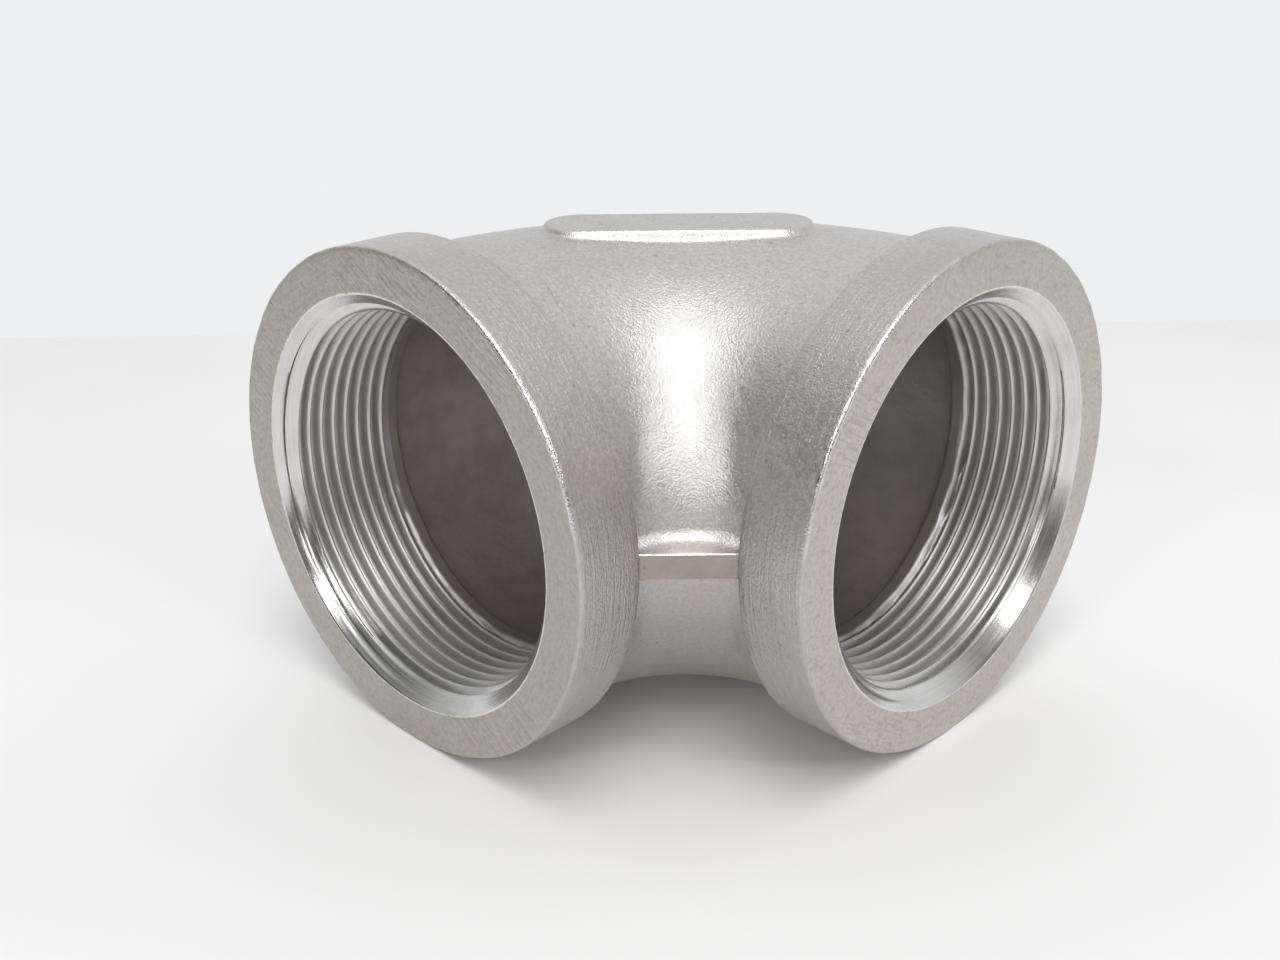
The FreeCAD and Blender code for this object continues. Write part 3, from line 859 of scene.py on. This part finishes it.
# ---------------------------------------------------------------- light
def area(name, direction, dist, size, power, colour=(1, 1, 1), size_y=None, aim=(0, 0, 0.035)):
    li = bpy.data.lights.new(name, "AREA")
    li.energy, li.color = power, colour
    li.shape = "RECTANGLE"
    li.size, li.size_y = size, size_y or size
    o = bpy.data.objects.new(name, li)
    az, el = (math.radians(a) for a in direction)
    d = Vector((math.sin(az) * math.cos(el), -math.cos(az) * math.cos(el), math.sin(el)))
    o.location = Vector(aim) + d * dist
    o.rotation_mode = "QUATERNION"
    o.rotation_quaternion = d.to_track_quat("Z", "Y")
    bpy.context.scene.collection.objects.link(o)
    return o


area("key", (50, 63), 1.0, 0.36, 3.9, (1.0, 1.0, 1.0), size_y=0.70)
area("front_c", (42, 27), 1.0, 0.40, 1.15, (1.0, 1.0, 1.0))
area("front_a", (12, 30), 1.0, 0.16, 1.0, (1.0, 1.0, 1.0))
area("front_b", (90, 33), 1.0, 0.16, 1.0, (1.0, 1.0, 1.0))

w = bpy.data.worlds.new("studio")
bpy.context.scene.world = w
w.use_nodes = True
t = w.node_tree
t.nodes.clear()
o = t.nodes.new("ShaderNodeOutputWorld")
bg = t.nodes.new("ShaderNodeBackground")
t.links.new(bg.outputs[0], o.inputs[0])
tc = t.nodes.new("ShaderNodeTexCoord")
dot = t.nodes.new("ShaderNodeVectorMath")
dot.operation = "DOT_PRODUCT"
t.links.new(tc.outputs["Generated"], dot.inputs[0])
dot.inputs[1].default_value = (-sa, ca, 0.0)
r1 = t.nodes.new("ShaderNodeValToRGB")
mr = t.nodes.new("ShaderNodeMapRange")
t.links.new(dot.outputs["Value"], mr.inputs["Value"])
mr.inputs["From Min"].default_value = -1.0
t.links.new(mr.outputs["Result"], r1.inputs["Fac"])
e = r1.color_ramp.elements
e[0].position, e[0].color = 0.0, (0.13, 0.118, 0.105, 1)    # the room behind the camera
e[1].position, e[1].color = 0.74, (0.855, 0.865, 0.885, 1)  # the pale wall behind the part
k = e.new(0.42)
k.color = (0.20, 0.19, 0.18, 1)
k = e.new(0.56)
k.color = (0.55, 0.55, 0.55, 1)
side = t.nodes.new("ShaderNodeVectorMath")     # dimmer on the camera's left
side.operation = "DOT_PRODUCT"
t.links.new(tc.outputs["Generated"], side.inputs[0])
side.inputs[1].default_value = (ca, sa, 0.0)
ms = t.nodes.new("ShaderNodeMapRange")
t.links.new(side.outputs["Value"], ms.inputs["Value"])
ms.inputs["From Min"].default_value, ms.inputs["From Max"].default_value = -0.9, 0.9
ms.inputs["To Min"].default_value, ms.inputs["To Max"].default_value = 0.40, 1.40
front = t.nodes.new("ShaderNodeMapRange")      # 1 towards the camera, 0 behind the part
t.links.new(dot.outputs["Value"], front.inputs["Value"])
front.inputs["From Min"].default_value, front.inputs["From Max"].default_value = 0.55, 0.0
lev = t.nodes.new("ShaderNodeMix")
lev.data_type = "FLOAT"
t.links.new(front.outputs["Result"], lev.inputs[0])
lev.inputs[2].default_value = 1.0
t.links.new(ms.outputs["Result"], lev.inputs[3])
sca = t.nodes.new("ShaderNodeVectorMath")
sca.operation = "SCALE"
t.links.new(r1.outputs["Color"], sca.inputs[0])
t.links.new(lev.outputs[0], sca.inputs[3])
sepw = t.nodes.new("ShaderNodeSeparateXYZ")
t.links.new(tc.outputs["Generated"], sepw.inputs[0])
mu = t.nodes.new("ShaderNodeMapRange")         # a lighter ceiling
t.links.new(sepw.outputs[2], mu.inputs["Value"])
mu.inputs["From Min"].default_value, mu.inputs["From Max"].default_value = 0.55, 0.95
mixw = t.nodes.new("ShaderNodeMix")
mixw.data_type = "RGBA"
t.links.new(mu.outputs["Result"], mixw.inputs[0])
t.links.new(sca.outputs[0], mixw.inputs[6])
mixw.inputs[7].default_value = (0.80, 0.805, 0.825, 1)
t.links.new(mixw.outputs[2], bg.inputs["Color"])
bg.inputs["Strength"].default_value = 1.0

bpy.context.scene.view_settings.view_transform = "Standard"
bpy.context.scene.view_settings.look = "None"
